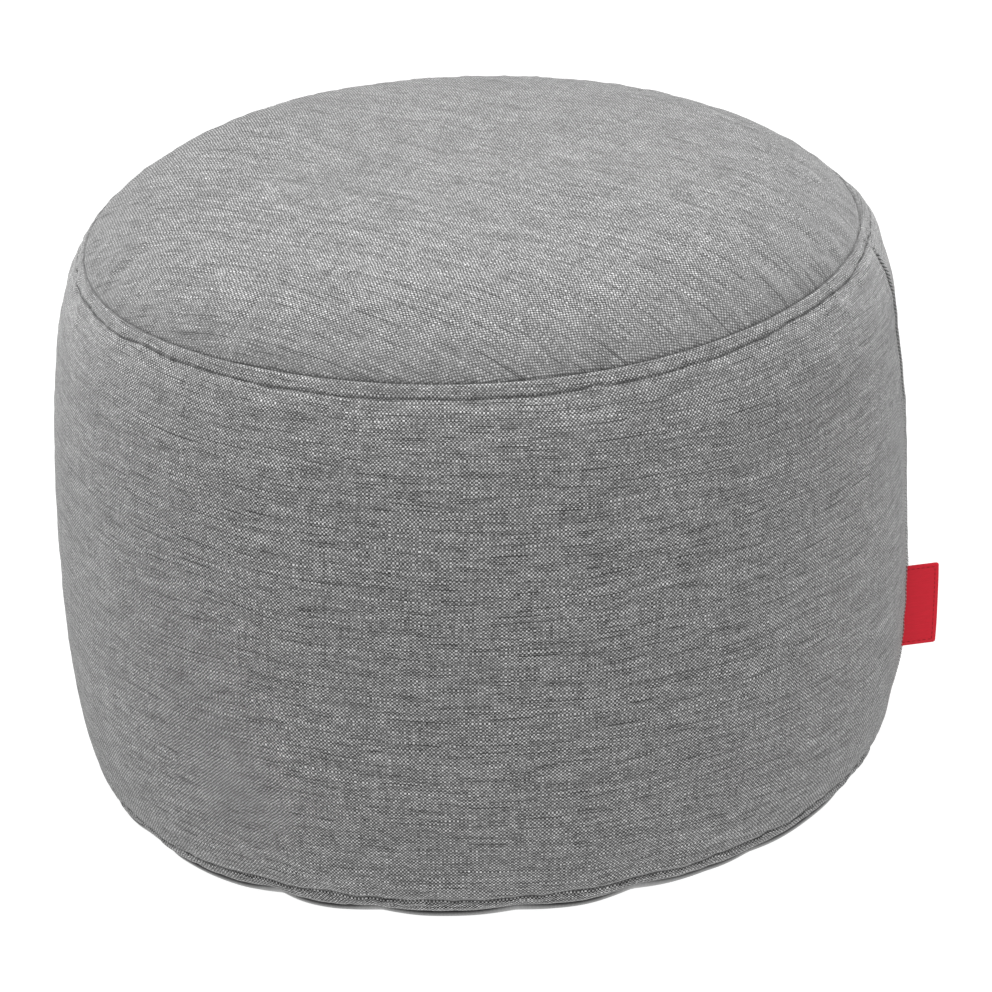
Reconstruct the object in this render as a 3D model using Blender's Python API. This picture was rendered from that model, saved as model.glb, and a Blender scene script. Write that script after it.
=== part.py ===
"""Round bean bag footstool: a filled drum of woven cloth, sewn from three panels.

The drum stands on the floor at z = 0 with its front towards -Y.  Each panel is a filled
solid, and the panels are parted at the seams that join them:
  side_panel  the upright wall, with a raised topstitched band along its top and its hem
  seat_panel  the round crowned top
  base_panel  the round flat bottom that the footstool rests on
  label       the plain tag sewn into the upright seam that closes the wall
"""
import math

import bmesh
import bpy
import numpy as np

# Driving sizes, in metres.
SEAT_SEAM_HEIGHT = 0.3275
SEAT_SEAM_RADIUS = 0.224
CROWN_RISE = 0.0375
HEM_SEAM_HEIGHT = 0.0075
HEM_SEAM_RADIUS = 0.233
BASE_FLAT_RADIUS = 0.214
PANEL_GAP = 0.0003

# The wall's outline: height of the section, its radius, and how far it leans to the right.
WALL_SECTIONS = (
    (HEM_SEAM_HEIGHT, HEM_SEAM_RADIUS, 0.001),
    (0.016, 0.2365, 0.001),
    (0.045, 0.2440, 0.002),
    (0.092, 0.2490, 0.003),
    (0.145, 0.2500, 0.004),
    (0.202, 0.2490, 0.006),
    (0.258, 0.2450, 0.008),
    (0.299, 0.2385, 0.010),
    (0.314, 0.2328, 0.010),
    (SEAT_SEAM_HEIGHT, SEAT_SEAM_RADIUS, 0.0095),
)

# The sewn band beside a seam: distance from the seam, and how far the cloth stands proud.
BAND_SECTIONS = (
    (0.0010, -0.0012),
    (0.0022, 0.0004),
    (0.0042, 0.0012),
    (0.0066, 0.0010),
    (0.0084, 0.0002),
    (0.0096, -0.0012),
    (0.0108, -0.0002),
    (0.0135, 0.0006),
    (0.0200, 0.0004),
)
CREASE_DEPTH = 0.0030
WALL_ROWS = 11

# The seat's rim: distance in from the seam, and how far the cloth stands proud.
RIM_SECTIONS = (
    (0.0010, -0.0016),
    (0.0025, -0.0004),
    (0.0060, 0.0004),
    (0.0120, 0.0002),
    (0.0210, 0.0),
    (0.0330, 0.0),
)
CROWN_ROWS = 6
CROWN_SQUARENESS = 6.0
CROWN_SOFTNESS = 1.2

# The base's rounded edge: height above the floor and radius.
BASE_EDGE_SECTIONS = (
    (0.0038, 0.2312),
    (0.0016, 0.2270),
    (0.0004, 0.2205),
    (0.0, BASE_FLAT_RADIUS),
)

# How the filling has settled: slopes of the top to the right and to the back, and its waves.
SETTLE_RIGHT = -0.019
SETTLE_BACK = 0.039
SEAM_WAVES = (  # waves in one turn, height, turned by (degrees)
    (2, 0.0011, -135.0),
    (3, 0.0009, 0.0),
    (4, 0.0006, -160.0),
)

# Pinches along the hem: angle round the drum (degrees, -90 is the front), how far the hem
# lifts there, and half the pinch's width in degrees.
HEM_PINCHES = (
    (-148.0, 0.0032, 6.0),
    (-124.0, 0.0046, 4.0),
    (-108.0, 0.0046, 4.5),
    (-88.5, 0.0038, 5.0),
    (-71.0, 0.0060, 5.0),
    (-60.0, 0.0014, 5.0),
    (-52.0, 0.0026, 5.0),
    (-27.0, 0.0040, 6.0),
    (-2.0, 0.0036, 5.0),
    (21.0, 0.0030, 5.5),
    (46.0, 0.0044, 4.5),
    (66.0, 0.0030, 5.0),
    (91.0, 0.0038, 5.0),
    (113.0, 0.0046, 4.5),
    (138.0, 0.0034, 5.5),
    (161.0, 0.0042, 5.0),
    (186.0, 0.0036, 5.5),
)
HEM_DROP = 0.0020
HEM_FADE_HEIGHT = 0.045
HEM_NARROWING = 0.018
PINCH_TUCK = 1.2  # how far the base is drawn in at a pinch, for each metre of its lift

# The upright seam that closes the wall: its angle, and its section across the seam.
CLOSING_SEAM_ANGLE = -7.5
CLOSING_SEAM_SECTIONS = (  # distance across the seam, how far the cloth stands proud
    (-0.0090, 0.0),
    (-0.0045, 0.0007),
    (-0.0015, 0.0003),
    (0.0, -0.0012),
    (0.0015, 0.0),
    (0.0045, 0.0002),
    (0.0090, 0.0),
)
WALL_COLUMNS = 90

# The label.
LABEL_HEIGHT = 0.051
LABEL_WIDTH = 0.020
LABEL_THICKNESS = 0.0014
LABEL_FOOT = 0.057
LABEL_ANGLE = 7.0
LABEL_CORNER = 0.0022
LABEL_ROWS = 8

# Finish: colours of the cloth and the tag, and one dull surface for both.
WALL_COLOUR = (0.20, 0.20, 0.20)
SEAT_COLOUR = (0.25, 0.25, 0.25)
BASE_COLOUR = (0.19, 0.19, 0.19)
LABEL_COLOUR = (0.53, 0.024, 0.038)
CLOTH_ROUGHNESS = 0.9
SHARP_ANGLE = 50.0

# Where the panels meet inside the seams: (radius, height) from each crease in to a flat middle.
JOINT_WIDTH = 0.030
SEAT_DISH = 0.010
CREASE_IN = 0.7 * CREASE_DEPTH
SEAT_JOINT = (
    (SEAT_SEAM_RADIUS - CREASE_IN, SEAT_SEAM_HEIGHT - CREASE_IN),
    (SEAT_SEAM_RADIUS - JOINT_WIDTH, SEAT_SEAM_HEIGHT - SEAT_DISH),
)
BASE_JOINT = (
    (HEM_SEAM_RADIUS - CREASE_DEPTH, HEM_SEAM_HEIGHT),
    (HEM_SEAM_RADIUS - JOINT_WIDTH, HEM_SEAM_HEIGHT),
)

HEIGHTS, RADII, LEANS = (np.array(column) for column in zip(*WALL_SECTIONS))


def smooth_curve(x, xs, ys):
    """Read a smooth curve through the rows of a table at x."""
    slopes = np.gradient(ys, xs)
    row = np.clip(np.searchsorted(xs, x) - 1, 0, len(xs) - 2)
    width = xs[row + 1] - xs[row]
    t = np.clip((x - xs[row]) / width, 0.0, 1.0)
    rise = ys[row] * (1 + 2 * t) * (1 - t) ** 2 + ys[row + 1] * t * t * (3 - 2 * t)
    return rise + width * (slopes[row] * t * (1 - t) ** 2 - slopes[row + 1] * t * t * (1 - t))


def crown_height(radius):
    """Height of the seat's smooth top at a radius."""
    share = np.clip(radius / SEAT_SEAM_RADIUS, 0.0, 1.0)
    return SEAT_SEAM_HEIGHT + CROWN_RISE * (1 - share**CROWN_SQUARENESS) ** CROWN_SOFTNESS


def raised_rows(line, distances, raises):
    """Points at distances along a (radius, height) line, each moved out square to it."""
    steps = np.linalg.norm(np.diff(line, axis=0), axis=1)
    along = np.concatenate([[0.0], np.cumsum(steps)])
    tangents = np.gradient(line, along, axis=0)
    rows = []
    for distance, raised in zip(distances, raises):
        point = [np.interp(distance, along, line[:, k]) for k in (0, 1)]
        slope = [np.interp(distance, along, tangents[:, k]) for k in (0, 1)]
        length = math.hypot(*slope)
        rows.append((point[0] + raised * slope[1] / length, point[1] - raised * slope[0] / length))
    return rows, along[-1]


def wall_rows():
    """(radius, height) of the wall's rows, from the hem seam's crease to the seat seam's."""
    heights = np.linspace(HEM_SEAM_HEIGHT, SEAT_SEAM_HEIGHT, 400)
    line = np.column_stack([smooth_curve(heights, HEIGHTS, RADII), heights])
    _, length = raised_rows(line, [], [])
    band = list(BAND_SECTIONS)
    reach = band[-1][0]
    plain = [(d, 0.0) for d in np.linspace(reach, length - reach, WALL_ROWS + 2)[1:-1]]
    top_band = [(length - distance, raised) for distance, raised in reversed(band)]
    distances, raises = zip(*(band + plain + top_band))
    return raised_rows(line, distances, raises)[0]


def crown_rows():
    """(radius, height) of the seat's rows, from the seam's crease to near the middle."""
    radii = np.linspace(SEAT_SEAM_RADIUS, 0.0, 400)
    line = np.column_stack([radii, crown_height(radii)])
    reach = RIM_SECTIONS[-1][0]
    plain = [(d, 0.0) for d in np.linspace(reach, SEAT_SEAM_RADIUS, CROWN_ROWS + 2)[1:-1]]
    distances, raises = zip(*(list(RIM_SECTIONS) + plain))
    return raised_rows(line, distances, raises)[0]


def pinch(angle):
    """How far the hem is pinched up at an angle, before the drop between the pinches."""
    lift = 0.0
    for centre, height, half_width in HEM_PINCHES:
        away = (math.degrees(angle) - centre + 180.0) % 360.0 - 180.0
        lift += height * math.exp(-((away / half_width) ** 2))
    return lift


def closing_seam(angle, radius):
    """How far the upright seam raises the wall at an angle."""
    across = (math.degrees(angle) - CLOSING_SEAM_ANGLE + 180.0) % 360.0 - 180.0
    distances, raises = zip(*CLOSING_SEAM_SECTIONS)
    return float(np.interp(math.radians(across) * radius, distances, raises))


def settled(radius, height, angle):
    """The place of a point of the even, round form once the filling has settled."""
    x = radius * math.cos(angle)
    y = radius * math.sin(angle)
    share = min(height / SEAT_SEAM_HEIGHT, 1.1)
    rim = min(radius / SEAT_SEAM_RADIUS, 1.0)
    z = height + share * (SETTLE_RIGHT * x + SETTLE_BACK * y)
    for waves, wave_height, turned in SEAM_WAVES:
        swing = math.cos(waves * angle - math.radians(turned))
        z += (share * rim) ** 2 * wave_height * swing
    fade = max(1.0 - height / HEM_FADE_HEIGHT, 0.0) ** 2
    x *= 1.0 - HEM_NARROWING * fade
    ground = min(height / HEM_SEAM_HEIGHT, 1.0)
    z += fade * ground * (pinch(angle) - HEM_DROP)
    return (x + float(smooth_curve(height, HEIGHTS, LEANS)), y, z)


def column_angles():
    """Angles of the wall's columns, closer together beside the upright seam."""
    seam = math.radians(CLOSING_SEAM_ANGLE)
    seam_columns = [seam + distance / RADII.max() for distance, _ in CLOSING_SEAM_SECTIONS]
    step = math.tau / WALL_COLUMNS
    clear = 0.6 * step
    first, last = seam_columns[0] - clear, seam_columns[-1] + clear
    even = [seam + step * k for k in range(-WALL_COLUMNS // 2, WALL_COLUMNS // 2)]
    return sorted([a for a in even if a < first or a > last] + seam_columns)


ANGLES = column_angles()


def grown_ring(bm, edges):
    """Extrude a ring of edges on the spot, and return the new ring's edges."""
    grown = bmesh.ops.extrude_edge_only(bm, edges=edges)["geom"]
    return [item for item in grown if isinstance(item, bmesh.types.BMEdge) and item.is_boundary]


def ends_of(edges):
    """The points that a ring of edges joins."""
    return list({vert for edge in edges for vert in edge.verts})


def lofted(name, rings, colour):
    """Draw a ring of edges through each row of points in turn, closed at both ends."""
    bm = bmesh.new()
    column = bm.verts.layers.int.new("column")
    start = bmesh.ops.create_circle(bm, segments=len(ANGLES), radius=1.0)["verts"]
    start.sort(key=lambda vert: math.atan2(vert.co.y, vert.co.x))
    for number, vert in enumerate(start):
        vert[column] = number
        vert.co = rings[0][number]
    first = list(bm.edges)
    last = first
    for ring in rings[1:]:
        last = grown_ring(bm, last)
        for vert in ends_of(last):
            vert.co = ring[vert[column]]
    for rim, row in ((first, rings[0]), (last, rings[-1])):
        tips = ends_of(grown_ring(bm, rim))
        bmesh.ops.pointmerge(bm, verts=tips, merge_co=np.mean(row, axis=0))
    bmesh.ops.recalc_face_normals(bm, faces=list(bm.faces))
    return finished(name, bm, colour)


def finished(name, bm, colour):
    """Make a named object with its own material from the finished mesh."""
    mesh = bpy.data.meshes.new(name)
    bm.to_mesh(mesh)
    bm.free()
    mesh.shade_smooth()
    mesh.set_sharp_from_angle(angle=math.radians(SHARP_ANGLE))
    material = bpy.data.materials.new(name)
    material.use_nodes = True
    surface = material.node_tree.nodes["Principled BSDF"]
    surface.inputs["Base Color"].default_value = (*colour, 1.0)
    surface.inputs["Roughness"].default_value = CLOTH_ROUGHNESS
    surface.inputs["Metallic"].default_value = 0.0
    mesh.materials.append(material)
    part = bpy.data.objects.new(name, mesh)
    bpy.context.collection.objects.link(part)
    return part


def ring(radius, height, raised=None, tuck=0.0):
    """One ring of settled points; raised(angle) and a tuck at each pinch change its radius."""
    points = []
    for angle in ANGLES:
        reach = radius - tuck * pinch(angle)
        if raised:
            reach += raised(angle, radius)
        points.append(settled(reach, height, angle))
    return points


def make_side_panel():
    """The wall: a filled drum between its two seams, with the closing seam up one side."""
    half_gap = 0.5 * PANEL_GAP
    rings = [ring(radius, height + half_gap) for radius, height in reversed(BASE_JOINT)]
    rings += [ring(radius, height, raised=closing_seam) for radius, height in wall_rows()]
    rings += [ring(radius, height - half_gap) for radius, height in SEAT_JOINT]
    return lofted("side_panel", rings, WALL_COLOUR)


def make_seat_panel():
    """The crowned top, resting in the shallow dish of the wall's seam."""
    half_gap = 0.5 * PANEL_GAP
    rings = [ring(radius, height + half_gap) for radius, height in reversed(SEAT_JOINT)]
    rings += [ring(radius, height) for radius, height in crown_rows()]
    return lofted("seat_panel", rings, SEAT_COLOUR)


def make_base_panel():
    """The flat bottom, rounded up to the hem seam and tucked in at each pinch."""
    half_gap = 0.5 * PANEL_GAP
    rings = [ring(radius, height, tuck=PINCH_TUCK) for height, radius in reversed(BASE_EDGE_SECTIONS)]
    rings += [ring(radius, height - half_gap) for radius, height in BASE_JOINT]
    return lofted("base_panel", rings, BASE_COLOUR)


def make_label():
    """The plain tag: its inner edge follows the wall, its outer corners are rounded."""
    seam = math.radians(CLOSING_SEAM_ANGLE)
    turn = math.radians(LABEL_ANGLE)
    outward = np.array([math.cos(turn), math.sin(turn), 0.0])
    across = np.array([-math.sin(turn), math.cos(turn), 0.0]) * LABEL_THICKNESS
    foot, head = LABEL_FOOT, LABEL_FOOT + LABEL_HEIGHT
    corners = []
    for centre_height, start in ((foot + LABEL_CORNER, -90.0), (head - LABEL_CORNER, 0.0)):
        for step in range(4):
            swing = math.radians(start + 30.0 * step)
            out = LABEL_WIDTH - LABEL_CORNER * (1.0 - math.cos(swing))
            corners.append((out, centre_height + LABEL_CORNER * math.sin(swing)))
    inner = [(0.0, height) for height in np.linspace(head, foot, LABEL_ROWS)]
    bm = bmesh.new()
    outline = []
    for out, height in corners + inner:
        root = settled(float(smooth_curve(height, HEIGHTS, RADII)), height, seam)
        outline.append(bm.verts.new(np.array(root) + outward * out - 0.5 * across))
    face = bm.faces.new(outline)
    grown = bmesh.ops.extrude_face_region(bm, geom=[face])["geom"]
    moved = [item for item in grown if isinstance(item, bmesh.types.BMVert)]
    bmesh.ops.translate(bm, vec=across, verts=moved)
    bmesh.ops.recalc_face_normals(bm, faces=list(bm.faces))
    return finished("label", bm, LABEL_COLOUR)


for old in list(bpy.data.objects):
    bpy.data.objects.remove(old, do_unlink=True)

make_side_panel()
make_seat_panel()
make_base_panel()
make_label()
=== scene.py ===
# %% [markdown]
# # A round bean bag footstool, step by step
#
# The footstool is a drum of heathered grey cloth, filled with loose beads.  Its cover is cut
# from three panels: a wall that goes once round, a round seat and a round base.  They are
# sewn at two rings, and a row of topstitching beside each ring holds the spare cloth down,
# so a rounded band stands up along both edges of the wall.  One upright seam closes the
# wall, and a small red tape is caught in it.
#
# This lesson dresses the plain solids of the imported model.  It starts by loading them.

# %% Load the imported model
import math

import bmesh
import bpy
import numpy as np
from mathutils import Matrix, Vector


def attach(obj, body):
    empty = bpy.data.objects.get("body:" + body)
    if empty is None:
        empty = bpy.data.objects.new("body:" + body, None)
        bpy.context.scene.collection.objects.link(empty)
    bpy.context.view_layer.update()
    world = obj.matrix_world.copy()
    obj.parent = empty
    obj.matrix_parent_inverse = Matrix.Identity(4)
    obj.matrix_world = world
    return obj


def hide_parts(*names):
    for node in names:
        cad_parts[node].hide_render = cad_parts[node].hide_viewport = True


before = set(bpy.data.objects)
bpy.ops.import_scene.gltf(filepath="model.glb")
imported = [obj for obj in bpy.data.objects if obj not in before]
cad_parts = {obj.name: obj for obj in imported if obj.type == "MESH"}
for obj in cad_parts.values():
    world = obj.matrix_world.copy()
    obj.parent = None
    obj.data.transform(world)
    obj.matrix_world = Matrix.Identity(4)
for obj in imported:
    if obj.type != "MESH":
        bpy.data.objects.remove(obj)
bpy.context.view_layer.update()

print("solids:", sorted(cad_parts))

# %% [markdown]
# ## The camera
#
# A long lens from well back keeps a round drum from looking stretched.  The place and the
# angles were worked out from the outline of the real footstool: the camera looks down by
# almost 23 degrees, and it was held a little crooked, which is why the drum leans.  An empty
# could be used as a target, but three turns of a plain matrix say exactly what was done.

# %% Place the camera
CAMERA_DISTANCE = 2.600
CAMERA_ELEVATION = math.radians(22.767)
AIM_HEIGHT = 0.175
LENS_MM = 159.81
SWING = math.radians(-0.287)
NOD = math.radians(-0.354)
ROLL = math.radians(4.129)

back = Vector((0.0, -math.cos(CAMERA_ELEVATION), math.sin(CAMERA_ELEVATION)))
look, right = -back, Vector((1.0, 0.0, 0.0))
up = right.cross(look)
swing = Matrix.Rotation(SWING, 3, up)
look, right = swing @ look, swing @ right
nod = Matrix.Rotation(NOD, 3, right)
look, up = nod @ look, nod @ up
roll = Matrix.Rotation(ROLL, 3, look)
right, up = roll @ right, roll @ up

camera = bpy.data.objects.new("camera", bpy.data.cameras.new("camera"))
bpy.context.collection.objects.link(camera)
camera.data.lens = LENS_MM
camera.data.sensor_width = 36.0
stand = Vector((0.0, 0.0, AIM_HEIGHT)) + back * CAMERA_DISTANCE
axes = Matrix((right, up, -look)).transposed().to_4x4()
camera.matrix_world = Matrix.Translation(stand) @ axes
bpy.context.scene.camera = camera
print("camera at", [round(n, 3) for n in camera.matrix_world.translation])

# %% [markdown]
# ## Floor and light
#
# The real footstool stands in a white studio.  A white floor lit from above would do, but the
# drum's own shadow would grey it, so the floor also glows a little, like a light table.  That
# glow is what lights the lower half of the wall.  A large soft lamp over the left shoulder
# gives the seat its paler tone, and a dim white sky fills the rest.

# %% Make the floor, the sky and the lamp
FLOOR_SIZE, FLOOR_GREY, FLOOR_GLOW = 14.0, 0.18, 0.95
WHITE = (1.0, 1.0, 1.0, 1.0)
SKY_STRENGTH = 0.50
LAMP_SIZE, LAMP_WATTS = 1.5, 72.0
LAMP_PLACE, LAMP_AIM = Vector((-0.08, -0.15, 2.3)), Vector((0.0, 0.0, 0.2))

bpy.ops.object.select_all(action="DESELECT")
bpy.ops.mesh.primitive_plane_add(size=FLOOR_SIZE)
floor = bpy.context.object
floor.name = "studio_floor"
floor_finish = bpy.data.materials.new("studio_floor")
floor_finish.use_nodes = True
floor_shader = floor_finish.node_tree.nodes["Principled BSDF"]
floor_shader.inputs["Base Color"].default_value = (FLOOR_GREY, FLOOR_GREY, FLOOR_GREY, 1.0)
floor_shader.inputs["Roughness"].default_value = 1.0
floor_shader.inputs["Specular IOR Level"].default_value = 0.0
floor_shader.inputs["Emission Color"].default_value = WHITE
floor_shader.inputs["Emission Strength"].default_value = FLOOR_GLOW
floor.data.materials.append(floor_finish)

sky = bpy.data.worlds.new("studio_sky")
sky.use_nodes = True
sky.node_tree.nodes["Background"].inputs["Color"].default_value = WHITE
sky.node_tree.nodes["Background"].inputs["Strength"].default_value = SKY_STRENGTH
bpy.context.scene.world = sky

lamp_data = bpy.data.lights.new("soft_lamp", "AREA")
lamp_data.shape = "DISK"
lamp_data.size = LAMP_SIZE
lamp_data.energy = LAMP_WATTS
lamp = bpy.data.objects.new("soft_lamp", lamp_data)
lamp.location = LAMP_PLACE
lamp.rotation_euler = (LAMP_AIM - LAMP_PLACE).to_track_quat("-Z", "Y").to_euler()
bpy.context.collection.objects.link(lamp)
bpy.context.scene.view_settings.view_transform = "Standard"
print("lit by one lamp of", LAMP_WATTS, "watts and a glowing floor")

# %% [markdown]
# ## The sizes of the cover
#
# These are the same numbers that the solids were cut with, in metres, so the cover lies on
# them without any fitting.  A drum of cloth is described best by tables, and the first is the
# outline of the wall: how high, how wide, and how far it leans to the right there.

# %% State the sizes
SEAT_SEAM_HEIGHT, SEAT_SEAM_RADIUS = 0.3275, 0.224
HEM_SEAM_HEIGHT, HEM_SEAM_RADIUS = 0.0075, 0.233
CROWN_RISE, CROWN_SQUARENESS, CROWN_SOFTNESS = 0.0375, 6.0, 1.2
CLOSING_SEAM_ANGLE = math.radians(-7.5)
PANEL_GAP = 0.0003
half_gap = 0.5 * PANEL_GAP

WALL_SECTIONS = (  # height, radius, lean to the right
    (HEM_SEAM_HEIGHT, HEM_SEAM_RADIUS, 0.001),
    (0.016, 0.2365, 0.001),
    (0.045, 0.2440, 0.002),
    (0.092, 0.2490, 0.003),
    (0.145, 0.2500, 0.004),
    (0.202, 0.2490, 0.006),
    (0.258, 0.2450, 0.008),
    (0.299, 0.2385, 0.010),
    (0.314, 0.2328, 0.010),
    (SEAT_SEAM_HEIGHT, SEAT_SEAM_RADIUS, 0.0095),
)
HEIGHTS, RADII, LEANS = (np.array(column) for column in zip(*WALL_SECTIONS))
print("the wall is", round(2 * RADII.max(), 3), "m across and", SEAT_SEAM_HEIGHT, "m high")

# %% [markdown]
# ## Curves and bumps
#
# A few rows of a table are enough for a soft form, if they are read with a smooth curve.
# Swellings, nips and puckers are all soft bumps.  Working on whole arrays of points at once
# keeps this quick.


# %% Read curves and bumps from tables
def smooth_curve(x, xs, ys):
    """Read a smooth curve through the rows of a table at x."""
    slopes = np.gradient(ys, xs)
    row = np.clip(np.searchsorted(xs, x) - 1, 0, len(xs) - 2)
    width = xs[row + 1] - xs[row]
    t = np.clip((x - xs[row]) / width, 0.0, 1.0)
    rise = ys[row] * (1 + 2 * t) * (1 - t) ** 2 + ys[row + 1] * t * t * (3 - 2 * t)
    return rise + width * (slopes[row] * t * (1 - t) ** 2 - slopes[row + 1] * t * t * (1 - t))


def table_curve(x, table):
    """Read a smooth curve through a table of pairs, flat beyond its last row."""
    xs, ys = (np.array(column) for column in zip(*table))
    return smooth_curve(np.clip(x, xs[0], xs[-1]), xs, ys)


def turned_away(angle, centre):
    """How far an angle is from a centre, in radians, the short way round."""
    return (angle - centre + np.pi) % math.tau - np.pi


def unit(vectors):
    """The same directions, one long."""
    return vectors / np.linalg.norm(vectors, axis=-1, keepdims=True)


def bell(distance, width):
    """A soft bump: one at no distance, and nearly nothing beyond two widths."""
    return np.exp(-((distance / width) ** 2))


def bumps(angle, table):
    """Bumps round the drum, added up: each row is an angle, a height and half a width."""
    return sum(height * bell(turned_away(angle, math.radians(at)), math.radians(wide))
               for at, height, wide in table)


print("half way up the wall is", round(float(smooth_curve(0.16, HEIGHTS, RADII)), 4), "m in radius")

# %% [markdown]
# ## The form of the drum
#
# Every point of the cover has a place on the even, round form, given by its radius, height
# and angle.  settled() then moves it to where the beads have let it sink: the top slopes,
# its seam waves, and the hem lifts wherever its thread puckers it.

# %% Describe the settled form
SETTLE_RIGHT, SETTLE_BACK = -0.019, 0.039
SEAM_WAVES = ((2, 0.0011, -135.0), (3, 0.0009, 0.0), (4, 0.0006, -160.0))
HEM_DROP, HEM_FADE_HEIGHT, HEM_NARROWING = 0.0020, 0.045, 0.018
PINCH_REACH, PINCH_FADE, PINCH_LIFT, PINCH_POINT = 0.0110, 1.5, 1.12, 1.3
HEM_PINCHES = (  # angle round the drum, how far the hem lifts, half the pinch's width
    (-148.0, 0.0032, 6.0), (-124.0, 0.0046, 4.0), (-108.0, 0.0046, 4.5), (-88.5, 0.0038, 5.0),
    (-71.0, 0.0060, 5.0), (-60.0, 0.0014, 5.0), (-52.0, 0.0026, 5.0), (-27.0, 0.0040, 6.0),
    (-2.0, 0.0036, 5.0), (21.0, 0.0030, 5.5), (46.0, 0.0044, 4.5), (66.0, 0.0030, 5.0),
    (91.0, 0.0038, 5.0), (113.0, 0.0046, 4.5), (138.0, 0.0034, 5.5), (161.0, 0.0042, 5.0),
    (186.0, 0.0036, 5.5),
)
HEM_TRIMS = (  # the same for smaller lifts and drops, too small for the solids
    (-170.0, -0.0012, 5.0), (-163.0, -0.0034, 5.0), (-153.0, 0.0030, 3.0),
    (-145.0, -0.0017, 3.0), (-132.0, 0.0011, 6.0), (-125.0, 0.0010, 3.0),
    (-107.0, -0.0010, 2.0), (-98.0, 0.0010, 4.0), (-88.0, 0.0008, 6.0), (-78.0, -0.0006, 4.0),
    (-64.0, 0.0009, 5.0), (-50.0, 0.0006, 6.0), (-39.0, 0.0030, 7.0), (-27.0, -0.0012, 4.0),
    (-19.0, -0.0020, 6.0),
)


def pinch(angle):
    """How far the hem is pinched up at an angle."""
    lift = 0.0
    for centre, height, half_width in HEM_PINCHES:
        away = turned_away(angle, math.radians(centre)) / math.radians(half_width)
        lift = lift + height * np.exp(-(np.abs(away) ** PINCH_POINT))
    return lift


def settled(radius, height, angle):
    """Places of points of the even, round form once the filling has settled."""
    radius, height, angle = np.broadcast_arrays(radius, height, angle)
    x, y = radius * np.cos(angle), radius * np.sin(angle)
    share = np.minimum(height / SEAT_SEAM_HEIGHT, 1.1)
    rim = np.minimum(radius / SEAT_SEAM_RADIUS, 1.0)
    z = height + share * (SETTLE_RIGHT * x + SETTLE_BACK * y)
    for waves, wave_height, turned in SEAM_WAVES:
        z = z + (share * rim) ** 2 * wave_height * np.cos(waves * angle - math.radians(turned))
    fade = np.maximum(1.0 - height / HEM_FADE_HEIGHT, 0.0) ** 2
    x = x * (1.0 - HEM_NARROWING * fade)
    near = np.clip(1.0 - (height - HEM_SEAM_HEIGHT) / PINCH_REACH, 0.0, 1.0) ** PINCH_FADE
    lift = near * (PINCH_LIFT * pinch(angle) + bumps(angle, HEM_TRIMS))
    z = z + fade * np.minimum(height / HEM_SEAM_HEIGHT, 1.0) * (lift - HEM_DROP)
    return np.stack([x + smooth_curve(height, HEIGHTS, LEANS), y, z], axis=-1)


print("the hem lifts by up to", round(1000 * float(pinch(np.linspace(0, 6, 500)).max()), 1), "mm")

# %% [markdown]
# ## Two outlines
#
# The wall and the seat are both turned round the middle of the drum, so each is one line, and
# a place on its cloth is a distance along that line and an angle.  Raising the cloth means
# moving it square to the line.


# %% Draw the outlines of the wall and the seat
class Outline:
    """A (radius, height) line, read by the distance along it, and pushed out square to it."""

    def __init__(self, radii, heights):
        self.line = np.column_stack([radii, heights])
        steps = np.linalg.norm(np.diff(self.line, axis=0), axis=1)
        self.along = np.concatenate([[0.0], np.cumsum(steps)])
        self.tangents = unit(np.gradient(self.line, self.along, axis=0))
        self.length = self.along[-1]

    def place(self, distance, raised=0.0):
        """The radius and height at a distance along the line, once raised."""
        at = [np.interp(distance, self.along, self.line[:, k]) for k in (0, 1)]
        run = [np.interp(distance, self.along, self.tangents[:, k]) for k in (0, 1)]
        return at[0] + raised * run[1], at[1] - raised * run[0]


wall_heights = np.linspace(HEM_SEAM_HEIGHT, SEAT_SEAM_HEIGHT, 600)
wall_line = Outline(smooth_curve(wall_heights, HEIGHTS, RADII), wall_heights)
seat_radii = SEAT_SEAM_RADIUS * np.sin(np.linspace(0.5 * np.pi, 0.0, 800))
seat_shares = seat_radii / SEAT_SEAM_RADIUS
seat_rise = (1 - seat_shares**CROWN_SQUARENESS) ** CROWN_SOFTNESS
seat_line = Outline(seat_radii, SEAT_SEAM_HEIGHT + CROWN_RISE * seat_rise)
print("cloth up the wall", round(wall_line.length, 4), "m, and in to the seat's middle",
      round(seat_line.length, 4), "m")

# %% [markdown]
# ## From rings to cloth
#
# Every cloth here is a stack of rings of points, joined by four-sided faces.  Blender could
# bridge rings by itself, but a sum says exactly which corner is which.


# %% Join rings
CORNERS = ((0, 0), (0, 1), (1, 1), (1, 0))  # of a face: rings up, columns on


def ring_faces(rows, columns):
    """The four-sided faces between neighbouring rings, which close round the drum."""
    row, column = np.meshgrid(np.arange(rows - 1), np.arange(columns), indexing="ij")
    corners = [(row + i) * columns + (column + j) % columns for i, j in CORNERS]
    return np.stack(corners, axis=-1).reshape(-1, 4).tolist()


def new_object(name, points, faces):
    """A mesh object in the scene, from its points and faces."""
    mesh = bpy.data.meshes.new(name)
    mesh.from_pydata(points, [], faces)
    made = bpy.data.objects.new(name, mesh)
    bpy.context.collection.objects.link(made)
    return made


print("two rings of four points:", ring_faces(2, 4))

# %% [markdown]
# ## Filling the cover
#
# Cloth is cut a little larger than the space between its seams, and the beads press it out.
# That cannot be drawn well by hand, so the cover is simulated: the whole bag as one cloth,
# its seams held, pressed from inside. The cloth grows by three hundredths while its seams
# do not, so it puckers beside them as the real one does. A bag that swells starts from a
# slightly smaller shape. The outline of the drum is already known, so only the unevenness
# is kept: the mean of every row is taken off, and no point moves by a whole millimetre.

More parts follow.
